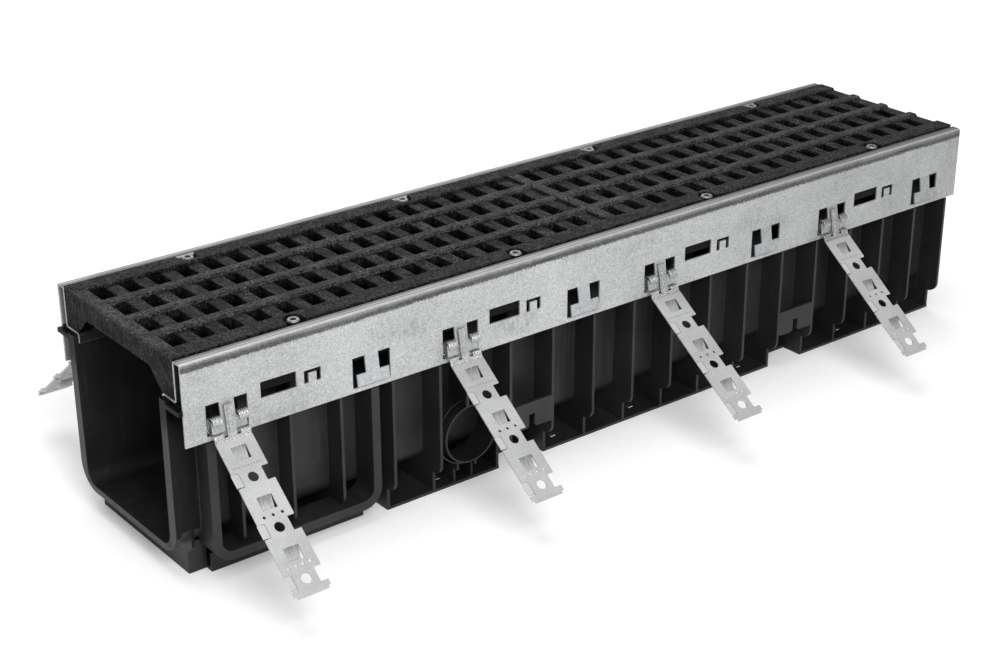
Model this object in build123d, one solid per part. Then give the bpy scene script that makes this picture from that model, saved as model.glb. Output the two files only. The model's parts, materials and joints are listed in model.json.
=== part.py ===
# Linear drainage channel, one metre long: a moulded channel body with two folded
# edge rails, two cast mesh gratings held by bolts, and perforated anchor straps
# hooked on the rails. Millimetres, X along the channel, the photographed long side
# faces -Y, Z up. Origin at the middle of the base.
import os
from math import cos, radians, sin, tan

from build123d import (
    Axis, Box, Cylinder, Edge, Face, Location, Part, Plane, Pos, RegularPolygon, Rot,
    Vector, Wire, chamfer, export_step, extrude, mirror,
)

os.makedirs("parts", exist_ok=True)

# Overall sizes.
overall_length = 1000.0
overall_width = 225.0
overall_height = 221.0

# Edge rails, folded from one sheet: outer plate, top, inner leg, seat and lip.
rail_sheet = 2.0
rail_near_gap = 4.5
rail_plate_height = 78.5
rail_top_width = 12.8
rail_seat_depth = 38.3
rail_lip_gap = 0.3
rail_lip_depth = 48.5
rail_bend = 2.0
bay_pitch = 250.0
hook_window_width = 41.2
hook_window_height = 30.2
hook_window_top = 44.3
hook_window_centres = (41.7, 191.6)
ledge_window_start = 75.7
ledge_window_width = 36.6
ledge_window_top = 38.5
ledge_window_height = 15.5
tongue_start = 120.2
tongue_outer_width = 17.6
tongue_inner_width = 8.2
tongue_top = 41.2
tongue_slot = 3.3
tongue_bottom = 53.8
tee_tilt = 8.0
tee_root = 1.5
tee_draw = 0.1
tee_neck_width = 14.3
tee_bar_width = 34.5
tee_bar_height = 11.5
tee_bar_drop = 16.5

# Mesh gratings; they stand a little above the rails.
grate_rise = 1.4
grate_side_gap = 0.8
grate_end_gap = 0.9
grate_seat_gap = 0.3
grate_foot_width = 21.4
grate_haunch_width = 19.5
grate_middle_depth = 21.0
mesh_rows = 4
mesh_column_pitch = 28.25
mesh_opening_length = 14.6
mesh_rim_inset = 33.1
mesh_draft = 3.0
cross_bar_drop = 2.6
ridge_base_width = 14.0
ridge_crest_width = 9.0
ridge_start = 2.0
rim_slope = 1.6
bar_root = 2.0
end_beam_width = 12.5
end_beam_inset = 5.0

# Bolts that hold the gratings down.
bolt_spread = 248.7
bolt_inset = 20.3
bolt_head_diameter = 12.0
bolt_head_height = 5.2
bolt_head_drop = 0.4
bolt_head_chamfer = 1.0
bolt_end_reach = 1.0
bolt_socket = 6.0
bolt_socket_depth = 3.2
bolt_diameter = 8.0
bolt_notch_gap = 3.2
bolt_notch_flare = 1.5
bolt_notch_slack = 0.01
bolt_hole_clearance = 0.5
nut_diameter = 13.0
nut_height = 6.2
nut_gap = 0.3
nut_room = 2.5
thread_gap = 0.05

# Channel body. A rise is measured up from the base.
body_far_gap = 8.0
wall = 3.0
trough_inset_top = 33.0
trough_inset_bottom = 34.8
trough_rise = 31.0
trough_corner = 14.0
flange_gap = 0.5
flange_bottom = 47.6
flange_inset = 2.3
end_lip_top = 43.2
end_lip_gap = 0.4
collar_length = 5.5
collar_inset = 22.5
collar_rise = 24.5
collar_corner = 26.0
rib_thickness = 3.0
rib_inset = 2.3
rib_step_rise = 23.0
rib_corner = 12.0
foot_inset = 15.5
base_thickness = 3.0
base_core_inset = 40.0
base_web_place = 346.6
base_web_rise = 39.0
base_web_shoulder_rise = 29.0
near_foot_start = 10.2
near_foot_end = 29.0
near_foot_inset = 32.0
plate_clearance_inset = 9.0
plate_gap = 2.5
column_reach = 3.0
frame_start = 21.0
frame_end = 200.5
frame_leg = 8.7
frame_rise = 18.0
frame_shelf = 9.0
frame_corner = 20.0
frame_foot_inset = 22.5
frame_foot_end = 191.6
frame_ribs = (56.0, 109.4, 162.8)
frame_rib_inset = 8.0
plain_ribs = (216.2, 269.6)
rib_comb_start = 406.0
rib_comb_pitch = 52.6
clip_rib = 353.4
clip_bays = ((353.4, 406.0), (721.6, 774.2))
clip_plate = 4.0
clip_top_rise = 68.5
clip_foot_rise = 41.0
clip_notch_width = 7.0
clip_notch_rise = 55.5
clip_corner = 6.0
clip_notch_corner = 4.0
flange_near_end = 347.0
flange_far_gap = 2.5
drain_slots = (285.0, 432.3, 537.5, 695.3, 853.1)
drain_slot_length = 10.0
drain_slot_insets = (30.5, 36.0)
pipe_centre = 305.0
pipe_rise = 58.0
pipe_ring_radius = 30.5
pipe_ring_wall = 1.7
pipe_recess = 2.5
pipe_collar_wall = 1.5
pipe_collar_inset = 10.0
pipe_bar_offset = -4.0
pipe_bar_thickness = 3.0
pipe_foot_offsets = (-10.0, 11.0)
pipe_foot_thickness = 2.4
pipe_foot_inset = 17.0
pipe_foot_step = 6.0

# Bodies run this far into each other before they are joined, and an outline has no
# edge shorter than the second value.
overlap = 1.0
shortest_edge = 1e-6

# Anchor straps. Angles are from the vertical, outwards.
strap_sheet = 1.5
strap_side_gap = 2.6
strap_neck_gap = 1.15
strap_axis_drop = 1.2
strap_hook_gap = 0.4
strap_curl_radius = 5.0
strap_curl_start = -1.5
strap_curl_slack = 0.1
strap_back_lean = 6.0
strap_heel_lean = 25.0
strap_heel_bend = 1.6
strap_exit_lean = 10.0
strap_exit_reach = 3.0
strap_exit_bend = 2.0
strap_knee_lean = 15.0
strap_knee_drop = 6.0
strap_knee_bend = 2.5
strap_slot_foot = 2.5
strap_prong_width = 9.0
strap_prong_root = 0.75
strap_prong_bend = 3.0
strap_prong_front = 1.5
strap_prong_reach = 14.6
strap_bead_width = 3.2
strap_bead_rise = 0.8
strap_bead_end = 2.2
strap_shape_angle = 50.7
front_strap_angles = (50.7, 53.2, 55.4, 52.9)
back_strap_angles = (52.0, 55.4, 51.3, 53.6)
strap_length = 153.5
strap_first_hole = 38.5
strap_hole_pitch = 50.0
strap_hole_diameter = 9.8
strap_window_width = 15.0
strap_window_height = 13.4
strap_window_rise = 24.0
strap_tongue_length = 12.6
strap_tongue_gap = 0.4
strap_tongue_taper = 0.8
strap_tongue_angle = 19.0
strap_pressed_draw = 0.1
strap_tab_angle = 14.0
strap_tab_length = 7.6
strap_tab_gap = 0.7
strap_notch_height = 14.0
strap_notch_left = 6.0
strap_notch_right = 7.2
strap_small_hole = 3.4
strap_small_places = (76.5, 125.5)
strap_small_counts = (3, 4)
strap_small_pitches = (9.0, 7.2)
strap_end_cut = 2.6

half_width = overall_width / 2
body_start = -overall_length / 2
body_end = overall_length / 2 - body_far_gap
rail_length = overall_length - rail_near_gap
rail_start = body_start + rail_near_gap
rail_seat_top = rail_seat_depth
rail_seat_under = rail_seat_depth + rail_sheet
rail_lip_inset = trough_inset_top + rail_lip_gap + rail_sheet
flange_top = rail_seat_under + flange_gap
plate_clearance_bottom = rail_plate_height + plate_gap
trough_depth = overall_height - trough_rise
collar_bottom = overall_height - collar_rise
rib_step = overall_height - rib_step_rise
frame_bottom = overall_height - frame_rise
pipe_depth = overall_height - pipe_rise
bolt_notch_radius = bolt_head_diameter / 2 + bolt_notch_gap
strap_width = hook_window_width - 2 * strap_side_gap
strap_slot_width = tee_neck_width + 2 * strap_neck_gap
strap_loop_radius = tee_bar_height - strap_axis_drop + strap_hook_gap + strap_sheet / 2
grate_length = (rail_length - grate_end_gap) / 2
grate_starts = (rail_start, rail_start + grate_length + grate_end_gap)
grate_width = overall_width - 2 * (rail_top_width + grate_side_gap)
grate_depth = rail_seat_top - grate_seat_gap + grate_rise
mesh_ridges = mesh_rows - 1
mesh_opening_width = (overall_width - 2 * mesh_rim_inset - mesh_ridges * ridge_base_width) / mesh_rows
mesh_row_pitch = mesh_opening_width + ridge_base_width

# Patterns along the channel have as many copies as fit.
rib_comb_room = body_end - rib_thickness / 2 - rail_start - rib_comb_start
rib_comb_count = int(rib_comb_room // rib_comb_pitch) + 1
bay_end = hook_window_centres[-1] + hook_window_width / 2
bay_count = int((rail_length - bay_end) // bay_pitch) + 1
mesh_room = grate_length - 2 * end_beam_width - mesh_opening_length
mesh_columns = int(mesh_room // mesh_column_pitch) + 1

# Base flanges lie between the clipped bays.
flange_sections = (
    (plain_ribs[0], flange_near_end), (clip_bays[0][1], clip_bays[1][0]),
    (clip_bays[1][1], body_end - rail_start - flange_far_gap),
)
bolt_places = [
    start + grate_length / 2 + side * bolt_spread / 2 for start in grate_starts for side in (-1, 1)
]


# A point of a cross section, from its distance inside the front face and below the top.
def at(inset, depth):
    return (inset - half_width, overall_height - depth)


# The plane of a cross section at one place along the channel, facing +X.
def cross_plane(x):
    return Plane(origin=(x, 0, 0), x_dir=(0, 1, 0), z_dir=(1, 0, 0))


# The plane of the front side at one inset, facing out of the channel.
def side_plane(inset):
    return Plane(origin=(0, inset - half_width, 0), x_dir=(1, 0, 0), z_dir=(0, -1, 0))


# A flat face with every corner rounded by its own radius.
def rounded_face(corners, radii):
    if isinstance(radii, (int, float)):
        radii = [radii] * len(corners)
    points = [Vector(*corner) for corner in corners]
    rounds = []
    for i, corner in enumerate(points):
        before = (points[i - 1] - corner).normalized()
        after = (points[(i + 1) % len(points)] - corner).normalized()
        if radii[i] <= 0:
            rounds.append((corner, None, corner))
            continue
        half = radians(before.get_angle(after)) / 2
        reach = radii[i] / tan(half)
        bisector = (before + after).normalized()
        middle = corner + bisector * (radii[i] / sin(half) - radii[i])
        rounds.append((corner + before * reach, middle, corner + after * reach))
    edges = []
    for i, (entry, middle, leave) in enumerate(rounds):
        if middle is not None:
            edges.append(Edge.make_three_point_arc(entry, middle, leave))
        following = rounds[(i + 1) % len(rounds)][0]
        if (following - leave).length > shortest_edge:
            edges.append(Edge.make_line(leave, following))
    return Face(Wire(edges))


# A solid pushed out of a face drawn on a plane.
def slab(plane, corners, radii, amount):
    return extrude(plane * rounded_face(corners, radii), amount=amount, dir=plane.z_dir)


# A box between two places along the channel, two insets and two depths.
def block(x0, x1, inset0, inset1, depth0, depth1):
    size = (x1 - x0, inset1 - inset0, depth1 - depth0)
    centre = ((x0 + x1) / 2, (inset0 + inset1) / 2 - half_width, overall_height - (depth0 + depth1) / 2)
    return Pos(*centre) * Box(*size)


# The closed outline of a sheet folded along a centre path, with its bend radii.
def folded_outline(path, bends, thickness):
    points = [Vector(*point) for point in path]
    sides = []
    for sign in (1, -1):
        corners = []
        radii = []
        for i, point in enumerate(points):
            into = (point - points[i - 1]).normalized() if i > 0 else None
            out = (points[i + 1] - point).normalized() if i < len(points) - 1 else None
            first = into or out
            last = out or into
            normal = Vector(-first.Y, first.X) * sign
            turn = first.X * last.Y - first.Y * last.X
            bisector = (Vector(-first.Y, first.X) + Vector(-last.Y, last.X)).normalized() * sign
            corners.append(point + bisector * (thickness / 2 / bisector.dot(normal)))
            side = sign if turn > 0 else -sign
            radii.append(0 if into is None or out is None else bends[i] - side * thickness / 2)
        sides.append((corners, radii))
    corners = sides[0][0] + sides[1][0][::-1]
    radii = sides[0][1] + sides[1][1][::-1]
    return [(corner.X, corner.Y) for corner in corners], radii


# The two mirror-image halves of something built on the front side.
def both_sides(solid):
    return [solid, mirror(solid, about=Plane.XZ)]


# A U-shaped cross section. Each side gives its inset at the top, its inset at the
# bottom, its depth and its corner radius.
def ring_outline(outer, inner):
    outer_top, outer_bottom, outer_depth, outer_radius = outer
    inner_top, inner_bottom, inner_depth, inner_radius = inner
    corners = [
        at(outer_top, flange_top), at(outer_bottom, outer_depth),
        at(overall_width - outer_bottom, outer_depth), at(overall_width - outer_top, flange_top),
        at(overall_width - inner_top, flange_top), at(overall_width - inner_bottom, inner_depth),
        at(inner_bottom, inner_depth), at(inner_top, flange_top),
    ]
    return corners, [0, outer_radius, outer_radius, 0, 0, inner_radius, inner_radius, 0]


# A rib across the body, from one edge round under the trough to the other.
def rib(x, edge_inset, foot):
    wall_middle = wall / 2
    half = [at(edge_inset, flange_top + overlap), at(edge_inset, rib_step)]
    half_radii = [0, rib_corner]
    if foot > edge_inset:
        half += [at(foot, rib_step), at(foot, overall_height - overlap)]
        half_radii += [0, 0]
    other = [(-y, z) for y, z in half[::-1]]
    inner = [
        at(overall_width - trough_inset_top + wall_middle, flange_top + overlap),
        at(overall_width - trough_inset_bottom + wall_middle, trough_depth + wall_middle),
        at(trough_inset_bottom - wall_middle, trough_depth + wall_middle),
        at(trough_inset_top - wall_middle, flange_top + overlap),
    ]
    bend = trough_corner + wall_middle
    radii = half_radii + half_radii[::-1] + [0, bend, bend, 0]
    return slab(cross_plane(x - rib_thickness / 2), half + other + inner, radii, rib_thickness)


# The U-shaped frame on the side of the first bay.
def end_frame():
    outer_bottom = overall_height - frame_bottom
    inner_bottom = outer_bottom + frame_shelf
    top = overall_height - flange_top - overlap
    left = rail_start + frame_start
    right = rail_start + frame_end
    corners = [
        (left, top), (left, outer_bottom), (right, outer_bottom), (right, top),
        (right - frame_leg, top), (right - frame_leg, inner_bottom), (left + frame_leg, inner_bottom),
        (left + frame_leg, top),
    ]
    inner_corner = frame_corner - frame_leg
    radii = [0, frame_corner, frame_corner, 0, 0, inner_corner, inner_corner, 0]
    depth = trough_inset_top - wall / 2 - rib_inset
    return slab(side_plane(rib_inset + depth), corners, radii, depth)


# The plate with a notch that closes two of the bays near their foot.
def clip_block(first, last):
    x0 = rail_start + first
    x1 = rail_start + last
    middle = (x0 + x1) / 2
    top = clip_top_rise
    foot = clip_foot_rise
    half = clip_notch_width / 2
    corners = [
        (x0, top), (x0, foot), (middle - half, foot), (middle - half, clip_notch_rise),
        (middle + half, clip_notch_rise), (middle + half, foot), (x1, foot), (x1, top),
    ]
    radii = [0, clip_corner, clip_notch_corner, 0, 0, clip_notch_corner, 0, 0]
    return slab(side_plane(rib_inset + clip_plate), corners, radii, clip_plate)


# A round wall that stands out from the side, between two insets.
def ring_out(x, radius, thickness, inset_from, inset_to):
    centre = (x, (inset_from + inset_to) / 2 - half_width, overall_height - pipe_depth)
    length = inset_to - inset_from
    ring = Cylinder(radius, length) - Cylinder(radius - thickness, 2 * length)
    return Pos(*centre) * Rot(90, 0, 0) * ring


# The pipe outlet: two round walls, one inside the other, in front of the wall that
# can be knocked out, with a bar above and two stepped feet below.
def pipe_outlet():
    x = rail_start + pipe_centre
    root = trough_inset_top - overlap
    collar_radius = pipe_ring_radius + pipe_recess + pipe_collar_wall
    ring_foot = pipe_depth + pipe_ring_radius - pipe_ring_wall / 2
    pieces = [
        ring_out(x, collar_radius, pipe_collar_wall, pipe_collar_inset, root),
        ring_out(x, pipe_ring_radius, pipe_ring_wall, rib_inset, root),
    ]
    bar = x + pipe_bar_offset
    pieces.append(block(bar - pipe_bar_thickness / 2, bar + pipe_bar_thickness / 2, rib_inset, root,
                        flange_bottom - overlap, pipe_depth - pipe_ring_radius + pipe_ring_wall / 2))
    for offset in pipe_foot_offsets:
        left = x + offset - pipe_foot_thickness / 2
        right = left + pipe_foot_thickness
        pieces.append(block(left, right, pipe_collar_inset + overlap, root, ring_foot,
                            pipe_depth + collar_radius + pipe_foot_step))
        pieces.append(block(left, right, pipe_foot_inset, base_core_inset + overlap, ring_foot,
                            overall_height - overlap))
    return pieces


# The web at the end of the second base section.
def base_web():
    x = rail_start + base_web_place
    corners = [
        at(foot_inset, overall_height - overlap), at(foot_inset, overall_height - base_web_shoulder_rise),
        at(trough_inset_bottom, overall_height - base_web_rise),
        at(base_core_inset + overlap, trough_depth + overlap),
        at(base_core_inset + overlap, overall_height - overlap),
    ]
    return slab(cross_plane(x - rib_thickness / 2), corners, 0, rib_thickness)


def channel_body():
    trough = (trough_inset_top, trough_inset_bottom, trough_depth, trough_corner)
    outside = (trough_inset_top - wall, trough_inset_bottom - wall, trough_depth + wall, trough_corner + wall)
    inside_wall = (
        trough_inset_top - overlap, trough_inset_bottom - overlap, trough_depth + overlap,
        trough_corner + overlap,
    )
    collar = (collar_inset, collar_inset, collar_bottom, collar_corner)
    column = (collar_inset, collar_inset, trough_depth + wall - overlap, collar_corner)
    column_length = rail_start + frame_start + column_reach - body_start
    near_end = cross_plane(body_start)
    shell = slab(near_end, *ring_outline(outside, trough), body_end - body_start)
    pieces = [
        slab(near_end, *ring_outline(collar, inside_wall), collar_length),
        slab(near_end, *ring_outline(column, inside_wall), column_length),
    ]

    # Ribs across the body; those inside the end frame stand a little further back.
    for x in frame_ribs:
        pieces.append(rib(rail_start + x, frame_rib_inset, frame_foot_inset))
    for x in plain_ribs:
        pieces.append(rib(rail_start + x, rib_inset, foot_inset))
    for i in range(rib_comb_count):
        pieces.append(rib(rail_start + rib_comb_start + i * rib_comb_pitch, rib_inset, foot_inset))
    pieces.append(rib(rail_start + clip_rib, rib_inset, base_core_inset))
    foot_start = rail_start + near_foot_start
    foot_end = rail_start + near_foot_end
    frame_foot = (foot_end - overlap, rail_start + frame_foot_end, frame_foot_inset)
    pieces.append(rib(foot_start + rib_thickness / 2, collar_inset, near_foot_inset))

    # Base plate with its flange sections.
    base_top = overall_height - base_thickness
    pieces.append(block(foot_start, body_end, base_core_inset, overall_width - base_core_inset, base_top,
                        overall_height))
    root = trough_inset_top - overlap
    core = base_core_inset + overlap
    sides = [
        block(body_start + collar_length - overlap, body_end, flange_inset, root, flange_top, flange_bottom),
        block(body_start, rail_start - end_lip_gap, 0, root, end_lip_top, flange_bottom),
        block(foot_start, foot_end, near_foot_inset, core, base_top, overall_height),
        block(foot_start, foot_end, near_foot_inset, near_foot_inset + wall, trough_depth, overall_height),
        block(*frame_foot, core, base_top, overall_height),
        block(*frame_foot, frame_foot_inset + wall, frame_bottom - overlap, overall_height),
        end_frame(),
        base_web(),
        *pipe_outlet(),
    ]
    for first, last in flange_sections:
        sides.append(block(
            rail_start + first - rib_thickness / 2, rail_start + last + rib_thickness / 2, foot_inset, core,
            base_top, overall_height,
        ))
    for first, last in clip_bays:
        sides.append(clip_block(first, last))
    for side in sides:
        pieces += both_sides(side)
    body = shell.fuse(*[piece for part in pieces for piece in part.solids()])

    # Room for the rails' plates, slots in the base and room for the nuts.
    cuts = [block(body_start + collar_length + overlap, body_end + overlap, -overlap, plate_clearance_inset,
                  flange_bottom, plate_clearance_bottom)]
    for place in drain_slots:
        middle = rail_start + place
        cuts.append(block(middle - drain_slot_length / 2, middle + drain_slot_length / 2, *drain_slot_insets,
                          base_top - overlap, overall_height + overlap))
    room = nut_diameter / 2 + nut_room
    for place in bolt_places:
        cuts.append(block(place - room, place + room, bolt_inset - room, bolt_inset + room,
                          flange_top - overlap, flange_bottom + overlap))
    cutters = [solid for cut in cuts for half in both_sides(cut) for solid in half.solids()]
    return body.cut(*cutters)


# Edge rail, front side.
def edge_rail():
    middle = rail_sheet / 2
    leg = rail_top_width - middle
    seat = rail_seat_top + middle
    lip = rail_lip_inset - middle
    path = [
        at(middle, rail_plate_height), at(middle, middle), at(leg, middle), at(leg, seat), at(lip, seat),
        at(lip, rail_lip_depth),
    ]
    bend = rail_bend
    outline = folded_outline(path, [0, bend, bend, bend, bend, 0], rail_sheet)
    rail = slab(cross_plane(rail_start), *outline, rail_length)
    cuts = []
    tees = []
    through = (-overlap, rail_sheet + overlap)
    for bay in range(bay_count):
        start = rail_start + bay * bay_pitch
        for centre in hook_window_centres:
            cuts.append(block(
                start + centre - hook_window_width / 2, start + centre + hook_window_width / 2, *through,
                hook_window_top, hook_window_top + hook_window_height,
            ))
            tees.append(Pos(start + centre, 0, 0) * tee())
        ledge = start + ledge_window_start
        cuts.append(block(ledge, ledge + ledge_window_width, *through, ledge_window_top,
                          ledge_window_top + ledge_window_height))
        left = start + tongue_start
        right = left + tongue_outer_width
        leg = (tongue_outer_width - tongue_inner_width) / 2
        cuts.append(block(left, right, *through, tongue_top, tongue_top + tongue_slot))
        cuts.append(block(left, left + leg, *through, tongue_top, tongue_bottom))
        cuts.append(block(right - leg, right, *through, tongue_top, tongue_bottom))
    for place in bolt_places:
        hole = Cylinder(bolt_diameter / 2 + bolt_hole_clearance, 4 * rail_sheet)
        cuts.append(Pos(place, bolt_inset - half_width, overall_height - rail_seat_top) * hole)
    rail = rail.cut(*[solid for cut in cuts for solid in cut.solids()])
    return rail.fuse(*[solid for piece in tees for solid in piece.solids()])


# The tab that an anchor strap hooks on: a neck with a bar across its foot, bent outwards.
def tee():
    top = overall_height - hook_window_top
    neck = tee_neck_width / 2
    bar = tee_bar_width / 2
    bar_top = top - tee_bar_drop
    bar_bottom = bar_top - tee_bar_height
    neck_top = top + tee_root
    corners = [
        (-neck, neck_top), (-neck, bar_top), (-bar, bar_top), (-bar, bar_bottom), (bar, bar_bottom),
        (bar, bar_top), (neck, bar_top), (neck, neck_top),
    ]
    flat = slab(side_plane(rail_sheet - tee_draw / 2), corners, 0, rail_sheet - tee_draw)
    hinge = Location((0, rail_sheet / 2 - half_width, top))
    return hinge * Rot(-tee_tilt, 0, 0) * hinge.inverse() * flat


# Mesh grating, seen from above with its near end at x = 0.
def grate():
    inset0 = rail_top_width + grate_side_gap
    inset1 = inset0 + grate_foot_width
    inset2 = inset1 + grate_haunch_width
    surface = cross_bar_drop
    rim = mesh_rim_inset
    half = [
        at(rim + rim_slope, surface), at(rim, 0), at(inset0, 0), at(inset0, grate_depth),
        at(inset1, grate_depth), at(inset2, grate_middle_depth),
    ]
    other = [(-y, z) for y, z in half[::-1]]
    casting = slab(cross_plane(0), half + other, 0, grate_length)
    beam_inset = inset0 + end_beam_inset
    bottom = surface + bar_root
    pieces = [block(0, end_beam_width, beam_inset, overall_width - beam_inset, 0, bottom)]
    crest = ridge_crest_width / 2
    spread = ridge_base_width / 2
    for i in range(1, mesh_rows):
        y = (i - mesh_rows / 2) * mesh_row_pitch
        top = overall_height
        corners = [
            (y - crest, top), (y - spread, top - surface), (y - spread, top - bottom),
            (y + spread, top - bottom), (y + spread, top - surface), (y + crest, top),
        ]
        pieces.append(slab(cross_plane(ridge_start), corners, 0, grate_length - ridge_start))
    casting = casting.fuse(*[solid for piece in pieces for solid in piece.solids()])

    # Openings widen downwards.
    first_column = (grate_length - (mesh_columns - 1) * mesh_column_pitch) / 2
    first_row = -mesh_ridges / 2 * mesh_row_pitch
    cuts = []
    for column in range(mesh_columns):
        x = first_column + column * mesh_column_pitch
        for row in range(mesh_rows):
            y = first_row + row * mesh_row_pitch
            mouth = Face.make_rect(mesh_opening_length, mesh_opening_width)
            mouth = Pos(x, y, overall_height + overlap) * mouth
            cuts.append(extrude(mouth, amount=grate_depth + 3 * overlap, dir=(0, 0, -1), taper=-mesh_draft))

    # Notches for the bolt heads, open towards the rails, with a bolt hole in each floor.
    notch_floor = overall_height - bolt_head_drop - bolt_head_height
    for side in (-1, 1):
        x = grate_length / 2 + side * bolt_spread / 2
        y = bolt_inset - half_width
        radius = bolt_notch_radius
        mouth = radius + bolt_notch_flare
        reach = bolt_inset - inset0 + overlap
        pocket = slab(
            Plane(origin=(x, y, notch_floor)),
            [(-mouth, -reach), (mouth, -reach), (radius, 0), (radius, radius), (-radius, radius),
             (-radius, 0)],
            [0, 0, 0, radius - bolt_notch_slack, radius - bolt_notch_slack, 0],
            2 * bolt_head_height,
        )
        drill = Cylinder(bolt_diameter / 2 + bolt_hole_clearance, 3 * grate_depth)
        hole = Pos(x, y, overall_height - grate_depth / 2) * drill
        cuts += both_sides(pocket) + both_sides(hole)
    return casting.cut(*[solid for cut in cuts for solid in cut.solids()])


# Round-headed bolt with a hexagon socket; its head rests on the notch floor.
def grate_bolt():
    top = overall_height + grate_rise - bolt_head_drop
    head = Pos(0, 0, top - bolt_head_height / 2) * Cylinder(bolt_head_diameter / 2, bolt_head_height)
    crown = head.edges().sort_by(Axis.Z)[-1]
    head = chamfer(crown, bolt_head_chamfer)
    end = overall_height - rail_seat_under - nut_gap - nut_height - bolt_end_reach
    shank_length = top - bolt_head_height - end
    shank = Pos(0, 0, end + shank_length / 2) * Cylinder(bolt_diameter / 2, shank_length)
    key = RegularPolygon(bolt_socket / 2, 6, major_radius=False)
    socket = extrude(Plane(origin=(0, 0, top - bolt_socket_depth)) * key, amount=2 * bolt_socket_depth)
    return (head + shank) - socket


# Round clinch nut under the rail seat.
def lock_nut():
    top = overall_height - rail_seat_under - nut_gap
    body = Pos(0, 0, top - nut_height / 2) * Cylinder(nut_diameter / 2, nut_height)
    return body - Pos(0, 0, top) * Cylinder(bolt_diameter / 2 + thread_gap, 4 * nut_height)


# The strap turns about the top of the bar that it hooks on.
def strap_axis():
    reach = tee_bar_drop + strap_axis_drop
    return (
        rail_sheet / 2 - half_width - reach * sin(radians(tee_tilt)),
        overall_height - hook_window_top - reach * cos(radians(tee_tilt)),
    )


# Where two lines cross, each given by its normal and its distance from the axis.
def crossing(normal_a, distance_a, normal_b, distance_b):
    spread = normal_a[0] * normal_b[1] - normal_a[1] * normal_b[0]
    return (
        (distance_a * normal_b[1] - distance_b * normal_a[1]) / spread,
        (normal_a[0] * distance_b - normal_b[0] * distance_a) / spread,
    )


# The point that lies a distance away from another, at a lean from straight down.
def onwards(point, lean, distance):
    return (point[0] - distance * sin(radians(lean)), point[1] - distance * cos(radians(lean)))


# Centre path of the strap in cross section, from the axis: a curl over the bar, down
# behind it, round under it on a circle about the axis, then out along the straight
# part.
def strap_path():
    curl = strap_curl_radius
    loop = strap_loop_radius
    back = (cos(radians(strap_back_lean)), sin(radians(strap_back_lean)))
    heel_way = (sin(radians(strap_heel_lean)), -cos(radians(strap_heel_lean)))
    exit_way = (-sin(radians(strap_exit_lean)), -cos(radians(strap_exit_lean)))
    over = crossing((0, 1), curl, back, curl)
    heel = crossing(back, curl, heel_way, loop)
    under = crossing(heel_way, loop, exit_way, loop)
    exit_point = (
        loop * exit_way[0] + strap_exit_reach * exit_way[1],
        loop * exit_way[1] - strap_exit_reach * exit_way[0],
    )
    knee = onwards(exit_point, strap_knee_lean, strap_knee_drop)
    tip = onwards(knee, strap_shape_angle, strap_length)
    path = [(-curl, strap_curl_start), (-curl, curl), over, heel, under, exit_point, knee, tip]
    turn = curl - strap_curl_slack
    bends = [0, turn, turn, strap_heel_bend, loop, strap_exit_bend, strap_knee_bend, 0]
    return path, bends


# The prong that rises in front of the bar between the two hooked sides, with a
# pressed bead along its middle.
def strap_prong():
    axis_y, axis_z = strap_axis()
    path, bends = strap_path()
    exit_point = path[5]
    root = onwards(exit_point, strap_knee_lean, strap_knee_drop * strap_prong_root)
    pieces = []
    layers = (
        (strap_prong_width, 0, strap_prong_reach),
        (strap_bead_width, strap_bead_rise, strap_prong_reach - strap_bead_end),
    )
    for width, rise, reach in layers:
        prong = [
            (y + axis_y - rise, z + axis_z) for y, z in (root, exit_point, (-strap_prong_front, reach))
        ]
        outline, radii = folded_outline(prong, [0, strap_prong_bend, 0], strap_sheet)
        pieces.append(slab(cross_plane(-width / 2), outline, radii, width))
    return pieces


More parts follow.
